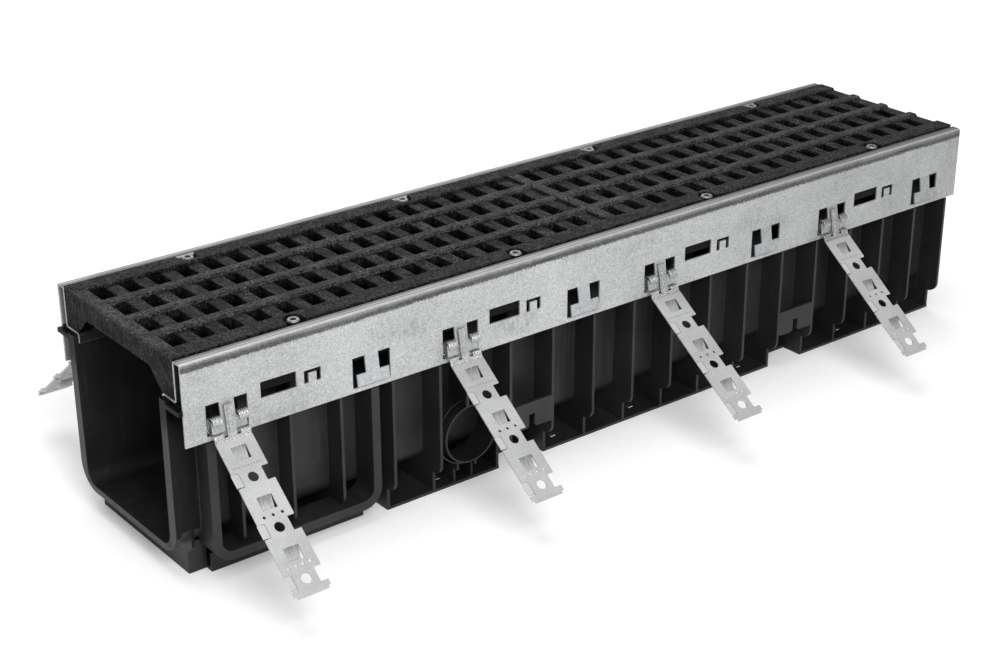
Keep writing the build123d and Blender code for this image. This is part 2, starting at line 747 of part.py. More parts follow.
def anchor_strap():
    path, bends = strap_path()
    knee = path[6]
    axis_y, axis_z = strap_axis()
    outline, radii = folded_outline([(y + axis_y, z + axis_z) for y, z in path], bends, strap_sheet)
    sheet = slab(cross_plane(-strap_width / 2), outline, radii, strap_width)
    angle = radians(strap_shape_angle)
    face = Plane(
        origin=(0, knee[0] + axis_y, knee[1] + axis_z), x_dir=(1, 0, 0), z_dir=(0, -cos(angle), sin(angle)),
    )
    to_face = Location(face)
    through = 4 * strap_sheet

    def flat_cut(left, right, low, high):
        corners = [(left, low), (right, low), (right, high), (left, high)]
        return slab(face.offset(-through / 2), corners, 0, through)

    # A slot parts the hook in two so that it clears the neck of the bar.
    slot_top = axis_z + strap_loop_radius + strap_sheet
    slot_bottom = axis_z - strap_loop_radius - strap_slot_foot
    cuts = [
        Pos(0, axis_y, (slot_top + slot_bottom) / 2)
        * Box(strap_slot_width, 2 * strap_loop_radius - strap_sheet, slot_top - slot_bottom),
    ]
    extras = strap_prong()
    edge = strap_width / 2
    w = strap_window_width / 2
    h = strap_window_height / 2
    for i in range(3):
        hole_v = -strap_first_hole - i * strap_hole_pitch
        window_v = hole_v + strap_window_rise
        cuts.append(to_face * Pos(0, hole_v, 0) * Cylinder(strap_hole_diameter / 2, through))
        cuts.append(flat_cut(-w, w, window_v - h, window_v + h))
        side = w - strap_tongue_gap
        end = side - strap_tongue_taper
        tongue = slab(
            Plane.XY.offset(-strap_sheet / 2),
            [(-side, overlap), (-end, -strap_tongue_length), (end, -strap_tongue_length), (side, overlap)],
            0, strap_sheet - strap_pressed_draw,
        )
        extras.append(to_face * Pos(0, window_v + h, 0) * Rot(strap_tongue_angle, 0, 0) * tongue)
        low = hole_v - strap_notch_height / 2
        high = hole_v + strap_notch_height / 2
        cuts.append(flat_cut(edge - strap_notch_right, edge + overlap, low, high))
        cuts.append(flat_cut(-edge - overlap, strap_notch_left - edge, low, high))
        tab_side = strap_notch_height / 2 - strap_tab_gap
        tab = slab(
            Plane.XY.offset(-strap_sheet / 2),
            [(overlap, tab_side), (-strap_tab_length, tab_side), (-strap_tab_length, -tab_side),
             (overlap, -tab_side)],
            0, strap_sheet - strap_pressed_draw,
        )
        extras.append(to_face * Pos(strap_notch_left - edge, hole_v, 0) * Rot(0, strap_tab_angle, 0) * tab)
    for row, count, spacing in zip(strap_small_places, strap_small_counts, strap_small_pitches):
        for k in range(count):
            u = (k - (count - 1) / 2) * spacing
            spot = to_face * Pos(u, -row, -through / 2) * RegularPolygon(strap_small_hole / 2, 6)
            cuts.append(extrude(spot, amount=through, dir=face.z_dir))
    end_v = -strap_length
    for inner, outer in ((edge - strap_end_cut, edge + overlap), (-edge - overlap, strap_end_cut - edge)):
        cuts.append(flat_cut(inner, outer, end_v - overlap, end_v + strap_end_cut))
    strap = sheet.cut(*[solid for cut in cuts for solid in cut.solids()])
    return strap.fuse(*[solid for piece in extras for solid in piece.solids()])


# A strap turned out to its own angle and set under its window.
def placed_strap(strap, bay, angle):
    axis_y, axis_z = strap_axis()
    axis = Location((0, axis_y, axis_z))
    turned = axis * Rot(strap_shape_angle - angle, 0, 0) * axis.inverse() * strap
    return Pos(rail_start + hook_window_centres[0] + bay * bay_pitch, 0, 0) * turned


def save(name, shape):
    solids = shape.solids()
    part = solids[0] if len(solids) == 1 else Part(children=list(solids))
    part.label = name
    export_step(part, f"parts/{name}.step")
    print(name, len(solids), "solid(s), volume", round(shape.volume / 1000, 1), "cm3")


save("channel_body", channel_body())
rail = edge_rail()
save("front_rail", rail)
save("back_rail", mirror(rail, about=Plane.XZ))
mesh = grate()
for name, start in zip(("near_grate", "far_grate"), grate_starts):
    save(name, Pos(start, 0, grate_rise) * mesh)
bolt = grate_bolt()
nut = lock_nut()
strap = anchor_strap()
for side_name, side, angles in (("front", -1, front_strap_angles), ("back", 1, back_strap_angles)):
    for i, place in enumerate(bolt_places):
        row = Pos(place, side * (half_width - bolt_inset), 0)
        save(f"grate_bolt_{side_name}_{i + 1}", row * bolt)
        save(f"lock_nut_{side_name}_{i + 1}", row * nut)
    for bay in range(bay_count):
        hung = placed_strap(strap, bay, angles[bay % len(angles)])
        save(f"anchor_strap_{side_name}_{bay + 1}", hung if side < 0 else mirror(hung, about=Plane.XZ))
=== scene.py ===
# Drainage channel with cast gratings: finishes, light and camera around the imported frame.
import json
import math

import bmesh
import bpy
from mathutils import Matrix, Vector


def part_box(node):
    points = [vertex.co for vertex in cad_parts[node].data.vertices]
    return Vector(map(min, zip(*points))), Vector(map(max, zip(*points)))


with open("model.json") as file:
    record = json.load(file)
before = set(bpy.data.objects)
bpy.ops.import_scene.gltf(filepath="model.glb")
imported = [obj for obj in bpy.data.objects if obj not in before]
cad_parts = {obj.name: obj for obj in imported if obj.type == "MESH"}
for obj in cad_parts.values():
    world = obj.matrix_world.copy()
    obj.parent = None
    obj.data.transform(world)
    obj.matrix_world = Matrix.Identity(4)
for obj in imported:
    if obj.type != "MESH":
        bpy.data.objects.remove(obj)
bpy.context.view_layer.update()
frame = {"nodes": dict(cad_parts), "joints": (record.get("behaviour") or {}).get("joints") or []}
nodes = frame["nodes"]

# Places that the finishes follow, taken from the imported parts. All lengths are in metres.
railStart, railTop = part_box("front_rail")[0].x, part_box("front_rail")[1].z
bodyStart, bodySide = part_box("channel_body")[0].x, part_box("channel_body")[1].y
grateSide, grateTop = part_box("near_grate")[1].y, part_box("near_grate")[1].z
hinges = {joint["child"]: Vector(joint["pos_m"]) for joint in frame["joints"]}
firstHinge = hinges["anchor_strap_front_1"]
bayLength = hinges["anchor_strap_front_2"].x - firstHinge.x
print("frame loaded:", len(nodes), "nodes")


def setSocket(tree, socket, value):
    if isinstance(value, bpy.types.NodeSocket):
        tree.links.new(value, socket)
    else:
        socket.default_value = value


def addNode(tree, kind, inputs=None, **settings):
    made = tree.nodes.new(kind)
    for name, value in settings.items():
        setattr(made, name, value)
    for name, value in (inputs or {}).items():
        setSocket(tree, made.inputs[name], value)
    return made


def mathNode(tree, operation, *values):
    return addNode(tree, "ShaderNodeMath", dict(enumerate(values)), operation=operation).outputs[0]


def multiply(tree, result, *others):
    for value in others:
        result = mathNode(tree, "MULTIPLY", result, value)
    return result


def addUp(tree, result, *others):
    for value in others:
        result = mathNode(tree, "ADD", result, value)
    return result


def subtract(tree, first, second):
    return mathNode(tree, "SUBTRACT", first, second)


def absolute(tree, value):
    return mathNode(tree, "ABSOLUTE", value)


def isAbove(tree, value, level):
    return mathNode(tree, "GREATER_THAN", value, level)


def isBelow(tree, value, level):
    return mathNode(tree, "LESS_THAN", value, level)


def larger(tree, first, second):
    return mathNode(tree, "MAXIMUM", first, second)


# A value from 0 to 1 turned into one that swings around a level.
def swing(tree, value, level, spread):
    return addUp(tree, multiply(tree, value, spread), level - spread / 2)


# Smooth step from 0 at low to 1 at high; low may lie above high.
def ramp(tree, value, low, high):
    limits = {"Value": value, "From Min": low, "From Max": high}
    return addNode(tree, "ShaderNodeMapRange", limits, interpolation_type="SMOOTHSTEP").outputs[0]


# The Mix node's colour sockets come after its sockets for numbers and vectors.
def mixColor(tree, factor, first, second, blend="MIX"):
    inputs = {0: factor, 6: first, 7: second}
    return addNode(tree, "ShaderNodeMix", inputs, data_type="RGBA", blend_type=blend).outputs[2]


def grey(level):
    return (level, level, level, 1.0)


def tinted(tree, tone, tint):
    parts = {name: multiply(tree, tone, share) for name, share in zip(("Red", "Green", "Blue"), tint)}
    return addNode(tree, "ShaderNodeCombineColor", parts).outputs[0]


def objectPlace(tree):
    return addNode(tree, "ShaderNodeTexCoord").outputs["Object"]


def axesOf(tree, place):
    return addNode(tree, "ShaderNodeSeparateXYZ", {"Vector": place}).outputs


# Noise over a piece. Two levels in between make it a mask from 0 to 1.
def noise(tree, place, scale=1.0, detail=3.0, roughness=0.5, stretch=None, turn=(0, 0, 0), between=None):
    if stretch is not None:
        mapped = {"Vector": place, "Scale": stretch, "Rotation": turn}
        place = addNode(tree, "ShaderNodeMapping", mapped).outputs[0]
    inputs = {"Vector": place, "Scale": scale, "Detail": detail, "Roughness": roughness}
    value = addNode(tree, "ShaderNodeTexNoise", inputs).outputs[0]
    return value if between is None else ramp(tree, value, *between)


# Small cells: their random tints and the distance from each cell's middle.
def cells(tree, place, scale):
    made = addNode(tree, "ShaderNodeTexVoronoi", {"Vector": place, "Scale": scale}, feature="F1")
    tints = addNode(tree, "ShaderNodeSeparateColor", {"Color": made.outputs["Color"]})
    return tints.outputs, made.outputs["Distance"]


spotFallOff = 0.35  # what is left of a soft spot one reach from its middle


# A soft spot, 1 at its middle. Each term is a place, the spot's middle there and its reach.
def softSpot(tree, *terms):
    squares = []
    for place, middle, reach in terms:
        share = mathNode(tree, "DIVIDE", subtract(tree, place, middle), reach)
        squares.append(multiply(tree, share, share))
    return mathNode(tree, "POWER", spotFallOff, addUp(tree, *squares))


# Place within a bay; the bays repeat from the start of the rails.
def placeInBay(tree, x):
    return mathNode(tree, "MODULO", addUp(tree, x, bayLength - railStart), bayLength)


def newGroup(name, inputs, outputs):
    tree = bpy.data.node_groups.new(name, "ShaderNodeTree")
    for label, value in inputs.items():
        socket = tree.interface.new_socket(label, in_out="INPUT", socket_type="NodeSocketFloat")
        socket.default_value = value
    for label, kind in outputs.items():
        tree.interface.new_socket(label, in_out="OUTPUT", socket_type=kind)
    return tree, addNode(tree, "NodeGroupInput"), addNode(tree, "NodeGroupOutput")


def useGroup(tree, group, **values):
    return addNode(tree, "ShaderNodeGroup", values, node_tree=group)


# Edge wear. Sharpness is the cosine between a face's own normal and the rounded one.
wearLook = {
    "inputs": {"Width": 0.0008, "Breakup": 0.5, "NoiseScale": 180.0},
    "samples": 4, "cosines": (0.995, 0.86), "breakBetween": (0.35, 0.65),
}


def makeEdgeWear():
    look = wearLook
    outputs = {"Mask": "NodeSocketFloat", "Normal": "NodeSocketVector"}
    tree, entry, leave = newGroup("edgeWear", look["inputs"], outputs)
    bevel = addNode(tree, "ShaderNodeBevel", {"Radius": entry.outputs["Width"]}, samples=look["samples"])
    rounded = bevel.outputs[0]
    normal = addNode(tree, "ShaderNodeNewGeometry").outputs["Normal"]
    product = addNode(tree, "ShaderNodeVectorMath", {0: rounded, 1: normal}, operation="DOT_PRODUCT")
    sharp = ramp(tree, product.outputs["Value"], *look["cosines"])
    broken = noise(tree, objectPlace(tree), entry.outputs["NoiseScale"], between=look["breakBetween"])
    keep = subtract(tree, 1.0, multiply(tree, broken, entry.outputs["Breakup"]))
    setSocket(tree, leave.inputs["Mask"], multiply(tree, sharp, keep))
    setSocket(tree, leave.inputs["Normal"], rounded)
    return tree


# Zinc coat: small warped crystals, fine grain and wide clouds.
coatLook = {
    "inputs": {"CrystalScale": 380.0, "CloudScale": 14.0, "GrainScale": 860.0},
    "warpScale": 240.0, "warpDetail": 2.0, "warpReach": 0.003,
    "cloud": {"detail": 6.0, "roughness": 0.62, "between": (0.32, 0.68)},
    "grain": {"detail": 3.0, "roughness": 0.7}, "grainBetween": (0.30, 0.70),
    "grainHeight": 1.4, "crystalHeight": 0.4,
}


def makeZincCoat():
    look = coatLook
    outputs = dict.fromkeys(("Crystal", "Cloud", "Grain", "Height"), "NodeSocketFloat")
    tree, entry, leave = newGroup("zincCoat", look["inputs"], outputs)
    place = objectPlace(tree)
    warpInputs = {"Vector": place, "Scale": look["warpScale"], "Detail": look["warpDetail"]}
    warp = addNode(tree, "ShaderNodeTexNoise", warpInputs).outputs["Color"]
    reach = (look["warpReach"],) * 3
    offset = addNode(tree, "ShaderNodeVectorMath", {0: warp, 1: reach}, operation="MULTIPLY").outputs[0]
    bent = addNode(tree, "ShaderNodeVectorMath", {0: place, 1: offset}, operation="ADD").outputs[0]
    tints, _ = cells(tree, bent, entry.outputs["CrystalScale"])
    grain = noise(tree, place, entry.outputs["GrainScale"], **look["grain"])
    height = addUp(tree, multiply(tree, grain, look["grainHeight"]),
                   multiply(tree, tints[1], look["crystalHeight"]))
    setSocket(tree, leave.inputs["Crystal"], tints[0])
    setSocket(tree, leave.inputs["Cloud"], noise(tree, place, entry.outputs["CloudScale"], **look["cloud"]))
    setSocket(tree, leave.inputs["Grain"], ramp(tree, grain, *look["grainBetween"]))
    setSocket(tree, leave.inputs["Height"], height)
    return tree


edgeWear = makeEdgeWear()
zincCoat = makeZincCoat()
print("shared patterns made")


def newMaterial(name):
    made = bpy.data.materials.new(name)
    made.use_nodes = True
    return made, made.node_tree, made.node_tree.nodes["Principled BSDF"]


# Tone of a zinc coat, with each of its patterns swinging it by a spread.
def coatTone(tree, coat, tone, spreads):
    parts = [multiply(tree, coat.outputs[label], spread) for label, spread in spreads.items()]
    return addUp(tree, tone - sum(spreads.values()) / 2, *parts)


# Joins a finish to its shader. The bump lies on the rounded normal of the edge wear.
def joinShader(tree, shader, colour, rough, metallic, height, bump, wear):
    bumped = addNode(tree, "ShaderNodeBump", {"Height": height, "Normal": wear.outputs["Normal"], **bump})
    joined = {"Base Color": colour, "Roughness": rough, "Metallic": metallic, "Normal": bumped.outputs[0]}
    for label, value in joined.items():
        setSocket(tree, shader.inputs[label], value)


# Dark brushed band under the rails' top edge. Its drops are measured down from that edge.
bandLook = {
    "colour": (0.030, 0.02955, 0.0279, 1.0), "topDrops": (0.0014, 0.0023), "footDrop": 0.0090,
    "raggedReach": 0.0036, "strokeReach": 0.0060, "footSoftness": (-0.0006, 0.0010),
    "ragged": {"stretch": (950.0, 40.0, 60.0), "detail": 4.0, "roughness": 0.7},
    "wide": {"stretch": (14.0, 4.0, 30.0), "detail": 3.0, "roughness": 0.6}, "wideBetween": (0.35, 0.65),
    "stroke": {"stretch": (1500.0, 300.0, 260.0), "detail": 3.0, "roughness": 0.7},
    "streak": {"stretch": (22.0, 60.0, 900.0), "detail": 5.0, "roughness": 0.75, "between": (0.3, 0.7)},
    "rub": {"scale": 620.0, "detail": 3.0, "roughness": 0.7, "between": (0.38, 0.60)},
    "paleRises": (0.0062, 0.0036), "paleShare": 0.66,
    "streakSwing": (0.97, 0.06), "wideSwing": (0.96, 0.08), "rubSwing": (0.92, 0.16),
}


# Mask of the band: ragged along its foot, strongest there and weaker towards the edge above.
def makeBand(tree, place, z):
    look = bandLook
    reach = look["raggedReach"]
    wide = noise(tree, place, **look["wide"])
    foot = addUp(tree, multiply(tree, noise(tree, place, **look["ragged"]), reach),
                 multiply(tree, wide, reach), railTop - look["footDrop"] - reach)
    rise = subtract(tree, z, foot)
    stroke = swing(tree, noise(tree, place, **look["stroke"]), 0.0, look["strokeReach"])
    filled = ramp(tree, addUp(tree, rise, stroke), *look["footSoftness"])
    underEdge = ramp(tree, subtract(tree, railTop, z), *look["topDrops"])
    deep = ramp(tree, rise, *look["paleRises"])
    deep = addUp(tree, multiply(tree, deep, 1.0 - look["paleShare"]), look["paleShare"])
    streak = swing(tree, noise(tree, place, **look["streak"]), *look["streakSwing"])
    fade = swing(tree, ramp(tree, wide, *look["wideBetween"]), *look["wideSwing"])
    rubbed = swing(tree, noise(tree, place, **look["rub"]), *look["rubSwing"])
    return multiply(tree, filled, underEdge, deep, streak, fade, rubbed)


# Galvanised edge rails. Drops are measured down from their top, insets outwards from its inner edge.
railLook = {
    "tone": 0.465, "tint": (0.972, 1.0, 0.992), "spreads": {"Grain": 0.29, "Crystal": 0.06, "Cloud": 0.08},
    "dullShare": 0.84, "paintedLightShare": 0.22, "paintedLightPlace": -0.15, "paintedLightReach": 0.36,
    "smearCloud": {"stretch": (11.0, 9.0, 24.0), "detail": 4.0, "roughness": 0.6, "between": (0.50, 0.70)},
    "smearStreak": {"stretch": (240.0, 90.0, 60.0), "detail": 4.0, "roughness": 0.7, "between": (0.36, 0.66)},
    "smearShare": 0.5, "smearTone": 0.18,
    "scuff": {"stretch": (30.0, 30.0, 260.0), "detail": 6.0, "roughness": 0.75, "between": (0.62, 0.76)},
    "scuffShare": 0.3, "scuffTone": 0.36,
    "hookPlaces": (0.0417, 0.1916), "hookHalf": 0.0206, "hookTopDrops": (0.0443, 0.0453),
    "hookFootDrops": (0.0744, 0.0739), "teeTint": (0.90, 0.91, 0.94, 1.0),
    "topWidth": 0.0128, "foldInsets": (0.0026, 0.0022), "foldDrops": (0.002, 0.003), "endFace": 0.0002,
    "foldShadeShare": 0.05, "sideSlack": 0.0004,
    "topDrops": (0.0012, 0.0003), "topMetallic": 0.95,
    "topReflectionStops": ((0.0, 0.80), (0.07, 0.80), (0.13, 0.07), (0.45, 0.13), (0.62, 0.36), (0.76, 0.10),
                 (0.88, 0.80)),
    "brushed": {"stretch": (12.0, 500.0, 60.0), "detail": 5.0, "roughness": 0.7, "between": (0.3, 0.7)},
    "brushedSwing": (0.15, 0.3), "brushedTone": 0.34,
    "wear": {"Width": 0.0006, "Breakup": 0.35, "NoiseScale": 220.0}, "wornShare": 0.8, "wornTone": 0.82,
    "roughness": 0.44, "cloudRough": 0.12, "grainRough": 0.08, "wornRough": -0.15, "metallic": 0.5,
    "dentPlace": 0.0175, "dentDrop": 0.073, "dentReach": 0.010, "coatHeight": 0.05,
    "bump": {"Strength": 0.7, "Distance": 0.0012},
}


# The rails' top face: a painted reflection, a dark strip between two pale edges, with brushed streaks. Across
# runs from 0 to 1.
def makeTopReflection(tree, place, across):
    look = railLook
    strip = addNode(tree, "ShaderNodeValToRGB", {"Fac": across})
    stops = strip.color_ramp.elements
    for stop, (position, tone) in zip(stops, (look["topReflectionStops"][0], look["topReflectionStops"][-1])):
        stop.position = position
        stop.color = grey(tone)
    for position, tone in look["topReflectionStops"][1:-1]:
        stops.new(position).color = grey(tone)
    brushed = swing(tree, noise(tree, place, **look["brushed"]), *look["brushedSwing"])
    return mixColor(tree, brushed, strip.outputs[0], grey(look["brushedTone"]))


# Mask of the tabs in the hook windows.
def makeHookMask(tree, inBay, drop):
    look = railLook
    nearHook = 0.0
    for hook in look["hookPlaces"]:
        close = isBelow(tree, absolute(tree, subtract(tree, inBay, hook)), look["hookHalf"])
        nearHook = larger(tree, nearHook, close)
    return multiply(tree, nearHook, ramp(tree, drop, *look["hookTopDrops"]),
                    ramp(tree, drop, *look["hookFootDrops"]))


def makeRailZinc():
    made, tree, shader = newMaterial("railZinc")
    look = railLook
    place = objectPlace(tree)
    x, y, z = axesOf(tree, place)
    drop = subtract(tree, railTop, z)
    out = absolute(tree, y)
    inset = subtract(tree, out, bodySide - look["topWidth"])
    inBay = placeInBay(tree, x)
    coat = useGroup(tree, zincCoat)
    wear = useGroup(tree, edgeWear, **look["wear"])

    # A painted pool of light: the coat is painted brightest a little left of the middle and duller towards
    # both ends.
    paintedLightPool = softSpot(tree, (x, look["paintedLightPlace"], look["paintedLightReach"]))
    light = addUp(tree, multiply(tree, paintedLightPool, look["paintedLightShare"]), look["dullShare"])
    tone = multiply(tree, coatTone(tree, coat, look["tone"], look["spreads"]), light)
    colour = tinted(tree, tone, look["tint"])
    smear = multiply(tree, noise(tree, place, **look["smearCloud"]),
                     noise(tree, place, **look["smearStreak"]))
    colour = mixColor(tree, multiply(tree, smear, look["smearShare"]), colour, grey(look["smearTone"]))
    scuff = noise(tree, place, **look["scuff"])
    colour = mixColor(tree, multiply(tree, scuff, look["scuffShare"]), colour, grey(look["scuffTone"]))

    # Tabs in the hook windows are a little bluer and darker than the plate.
    colour = mixColor(tree, makeHookMask(tree, inBay, drop), colour, look["teeTint"], "MULTIPLY")

    # Painted shade: the hollow of the rail's fold is painted dark, apart from its cut ends.
    foldShade = multiply(tree, ramp(tree, inset, *look["foldInsets"]), ramp(tree, drop, *look["foldDrops"]),
                      isAbove(tree, x, railStart + look["endFace"]))
    colour = mixColor(tree, foldShade, colour, grey(look["foldShadeShare"]), "MULTIPLY")
    onTop = ramp(tree, drop, *look["topDrops"])
    # The top face gets its painted reflection.
    topReflection = makeTopReflection(tree, place, mathNode(tree, "DIVIDE", inset, look["topWidth"]))
    colour = mixColor(tree, onTop, colour, topReflection)
    outside = isAbove(tree, out, bodySide - look["sideSlack"])
    colour = mixColor(tree, multiply(tree, makeBand(tree, place, z), outside), colour, bandLook["colour"])
    worn = multiply(tree, wear.outputs["Mask"], look["wornShare"])
    colour = mixColor(tree, worn, colour, grey(look["wornTone"]))

    rough = addUp(tree, swing(tree, coat.outputs["Cloud"], look["roughness"], look["cloudRough"]),
                  multiply(tree, coat.outputs["Grain"], look["grainRough"]),
                  multiply(tree, wear.outputs["Mask"], look["wornRough"]))
    metallic = addUp(tree, multiply(tree, onTop, look["topMetallic"] - look["metallic"]), look["metallic"])

    # Soft dents where the sheet is pressed below the hook windows.
    dent = softSpot(tree, (inBay, look["dentPlace"], look["dentReach"]),
                    (drop, look["dentDrop"], look["dentReach"]))
    height = subtract(tree, multiply(tree, coat.outputs["Height"], look["coatHeight"]), dent)
    joinShader(tree, shader, colour, rough, metallic, height, look["bump"], wear)
    return made


# Cast gratings. Drops are measured down from their top, insets in from their long sides.
grateLook = {
    "dark": 0.0015, "light": 0.027, "tint": (0.97, 0.985, 1.04, 1.0), "metallic": 0.15,
    "coarse": {"scale": 75.0, "detail": 8.0, "roughness": 0.72}, "coarseBetween": (0.36, 0.62),
    "gritty": {"scale": 430.0, "detail": 5.0, "roughness": 0.74}, "grittyBetween": (0.40, 0.60),
    "blotch": {"scale": 26.0, "detail": 5.0, "roughness": 0.7, "between": (0.30, 0.70)},
    "blotchSwing": (0.8, 0.4),
    "speckScale": 900.0, "speckTints": (0.89, 0.94), "speckReach": (0.50, 0.25),
    "speckDrops": (0.0068, 0.0038), "speckShare": 0.75, "speckTone": 0.46, "speckRough": -0.25,
    "ridgeDrops": (0.0030, 0.0014), "ridgeBetween": (0.36, 0.60), "ridgeHighlightTone": 0.044,
    "sunkDrops": (0.0063, 0.0133), "openingShadeShare": 0.16, "openingShadeShine": 0.8, "endFace": 0.0003,
    "wear": {"Width": 0.0024, "Breakup": 0.75, "NoiseScale": 200.0}, "wornShare": 0.85, "wornTone": 0.085,
    "wornGritty": (0.42, 0.62), "wornCoarse": (0.38, 0.60),
    "dullSpecular": 0.08, "brightSpecular": 0.40, "roughness": 0.66, "grittyRough": -0.12,
    "lumps": {"scale": 190.0, "detail": 5.0, "roughness": 0.75, "between": (0.30, 0.70)},
    "rimInsets": (0.0269, 0.0149), "rimSwing": (1.35, 2.2),
    "drawn": {"stretch": (260.0, 260.0, 22.0), "detail": 4.0, "roughness": 0.6},
    "drawnPlaces": (0.0006, 0.0003),
    "grittyHeight": 0.45, "coarseHeight": 0.8, "drawnHeight": 0.9, "speckHeight": -0.2,
    "bump": {"Strength": 1.0, "Distance": 0.0017},
}


def makeCastIron():
    made, tree, shader = newMaterial("castIron")
    look = grateLook
    place = objectPlace(tree)
    x, y, z = axesOf(tree, place)
    drop = subtract(tree, grateTop, z)
    fromEnd = subtract(tree, x, railStart)
    wear = useGroup(tree, edgeWear, **look["wear"])
    coarse = noise(tree, place, **look["coarse"])
    gritty = noise(tree, place, **look["gritty"])
    blotches = noise(tree, place, **look["blotch"])
    patch = multiply(tree, ramp(tree, coarse, *look["coarseBetween"]),
                     ramp(tree, gritty, *look["grittyBetween"]), swing(tree, blotches, *look["blotchSwing"]))
    colour = mixColor(tree, patch, grey(look["dark"]), grey(look["light"]))

    # Painted highlight: the tops of the ridges are painted paler.
    ridgeHighlight = multiply(tree, ramp(tree, drop, *look["ridgeDrops"]), ramp(tree, gritty, *look["ridgeBetween"]))
    colour = mixColor(tree, ridgeHighlight, colour, grey(look["ridgeHighlightTone"]), "ADD")
    # Painted shade: the walls of the openings are painted darker with depth, and their sheen is dulled.
    openingShade = multiply(tree, ramp(tree, drop, *look["sunkDrops"]), isAbove(tree, fromEnd, look["endFace"]))
    colour = mixColor(tree, openingShade, colour, grey(look["openingShadeShare"]), "MULTIPLY")
    colour = mixColor(tree, 1.0, colour, look["tint"], "MULTIPLY")
    worn = multiply(tree, wear.outputs["Mask"], ramp(tree, gritty, *look["wornGritty"]),
                    ramp(tree, coarse, *look["wornCoarse"]), look["wornShare"])
    colour = mixColor(tree, worn, colour, grey(look["wornTone"]))

    # Pale specks lie on the upper faces, in blotches: painted glints, with a smoother finish there too.
    tints, distance = cells(tree, place, look["speckScale"])
    speck = multiply(tree, ramp(tree, tints[0], *look["speckTints"]), blotches,
                     ramp(tree, distance, *look["speckReach"]), ramp(tree, drop, *look["speckDrops"]))
    colour = mixColor(tree, multiply(tree, speck, look["speckShare"]), colour, grey(look["speckTone"]))

    shine = multiply(tree, patch, look["brightSpecular"] - look["dullSpecular"])
    shine = addUp(tree, shine, look["dullSpecular"])
    lit = subtract(tree, 1.0, multiply(tree, openingShade, look["openingShadeShine"]))
    setSocket(tree, shader.inputs["Specular IOR Level"], multiply(tree, shine, lit))
    rough = addUp(tree, look["roughness"], multiply(tree, gritty, look["grittyRough"]),
                  multiply(tree, speck, look["speckRough"]))

    # The rims beside the rails are the lumpiest, and the end faces are drawn upright.
    rim = ramp(tree, subtract(tree, grateSide, absolute(tree, y)), *look["rimInsets"])
    drawn = multiply(tree, noise(tree, place, **look["drawn"]), ramp(tree, fromEnd, *look["drawnPlaces"]))
    lumps = multiply(tree, noise(tree, place, **look["lumps"]), swing(tree, rim, *look["rimSwing"]))
    height = addUp(tree, multiply(tree, gritty, look["grittyHeight"]),
                   multiply(tree, coarse, look["coarseHeight"]), multiply(tree, drawn, look["drawnHeight"]),
                   multiply(tree, distance, look["speckHeight"]), lumps)
    joinShader(tree, shader, colour, rough, look["metallic"], height, look["bump"], wear)
    return made


# Moulded channel body. Insets are measured in from its long sides, heights up from its base.
bodyLook = {
    "tone": 0.010, "hazeTone": 0.019, "hazeBetween": (0.35, 0.68), "hazeHeight": 1.1,
    "haze": {"scale": 9.0, "detail": 5.0, "roughness": 0.6},
    "scratch": {"stretch": (40.0, 300.0, 300.0), "turn": (0.2, 0.5, 0.3), "detail": 6.0, "roughness": 0.8,
                "between": (0.66, 0.78)},
    "scratchShare": 0.5, "scratchTone": 0.032,
    "drawn": {"stretch": (170.0, 170.0, 10.0), "detail": 5.0, "roughness": 0.7, "between": (0.46, 0.70)},
    "drawnCloud": {"scale": 22.0, "detail": 3.0, "roughness": 0.6, "between": (0.40, 0.62)},
    "drawnShare": 0.6, "drawnRough": 0.10,
    "dust": {"scale": 640.0, "detail": 2.0, "roughness": 0.6, "between": (0.74, 0.80)},
    "dustShare": 0.45, "dustTone": 0.12,
    "troughInset": 0.0328, "troughHeight": 0.0308, "troughShadeShare": 0.8, "troughShadow": 0.5,
    "hiddenHeights": (0.134, 0.166), "behindPlateShadeShare": 0.12, "hiddenShadow": 0.75,
    "wallInset": 0.0225, "wallReach": (0.0012, 0.0006), "wallStarts": (0.0002, 0.0005),
    "wallEnds": (0.0247, 0.0243), "endWallShadeShare": 0.30, "wallShadow": 0.6,
    "wallScuff": {"stretch": (300.0, 60.0, 36.0), "detail": 5.0, "roughness": 0.75, "between": (0.56, 0.70)},
    "wallScuffShare": 0.5,
    "wear": {"Width": 0.0008, "Breakup": 0.45, "NoiseScale": 150.0}, "edgeShare": 0.75, "edgeTone": 0.030,
    "runs": {"stretch": (26.0, 26.0, 5.0), "detail": 4.0, "roughness": 0.5},
    "roughness": 0.44, "runsRough": 0.22, "specular": 0.42,
    "ripples": {"stretch": (30.0, 30.0, 420.0), "detail": 3.0, "roughness": 0.6}, "rippleHeight": 0.09,
    "grain": {"scale": 900.0, "detail": 2.0}, "grainHeight": 0.06,
    "bump": {"Strength": 0.35, "Distance": 0.0012},
}


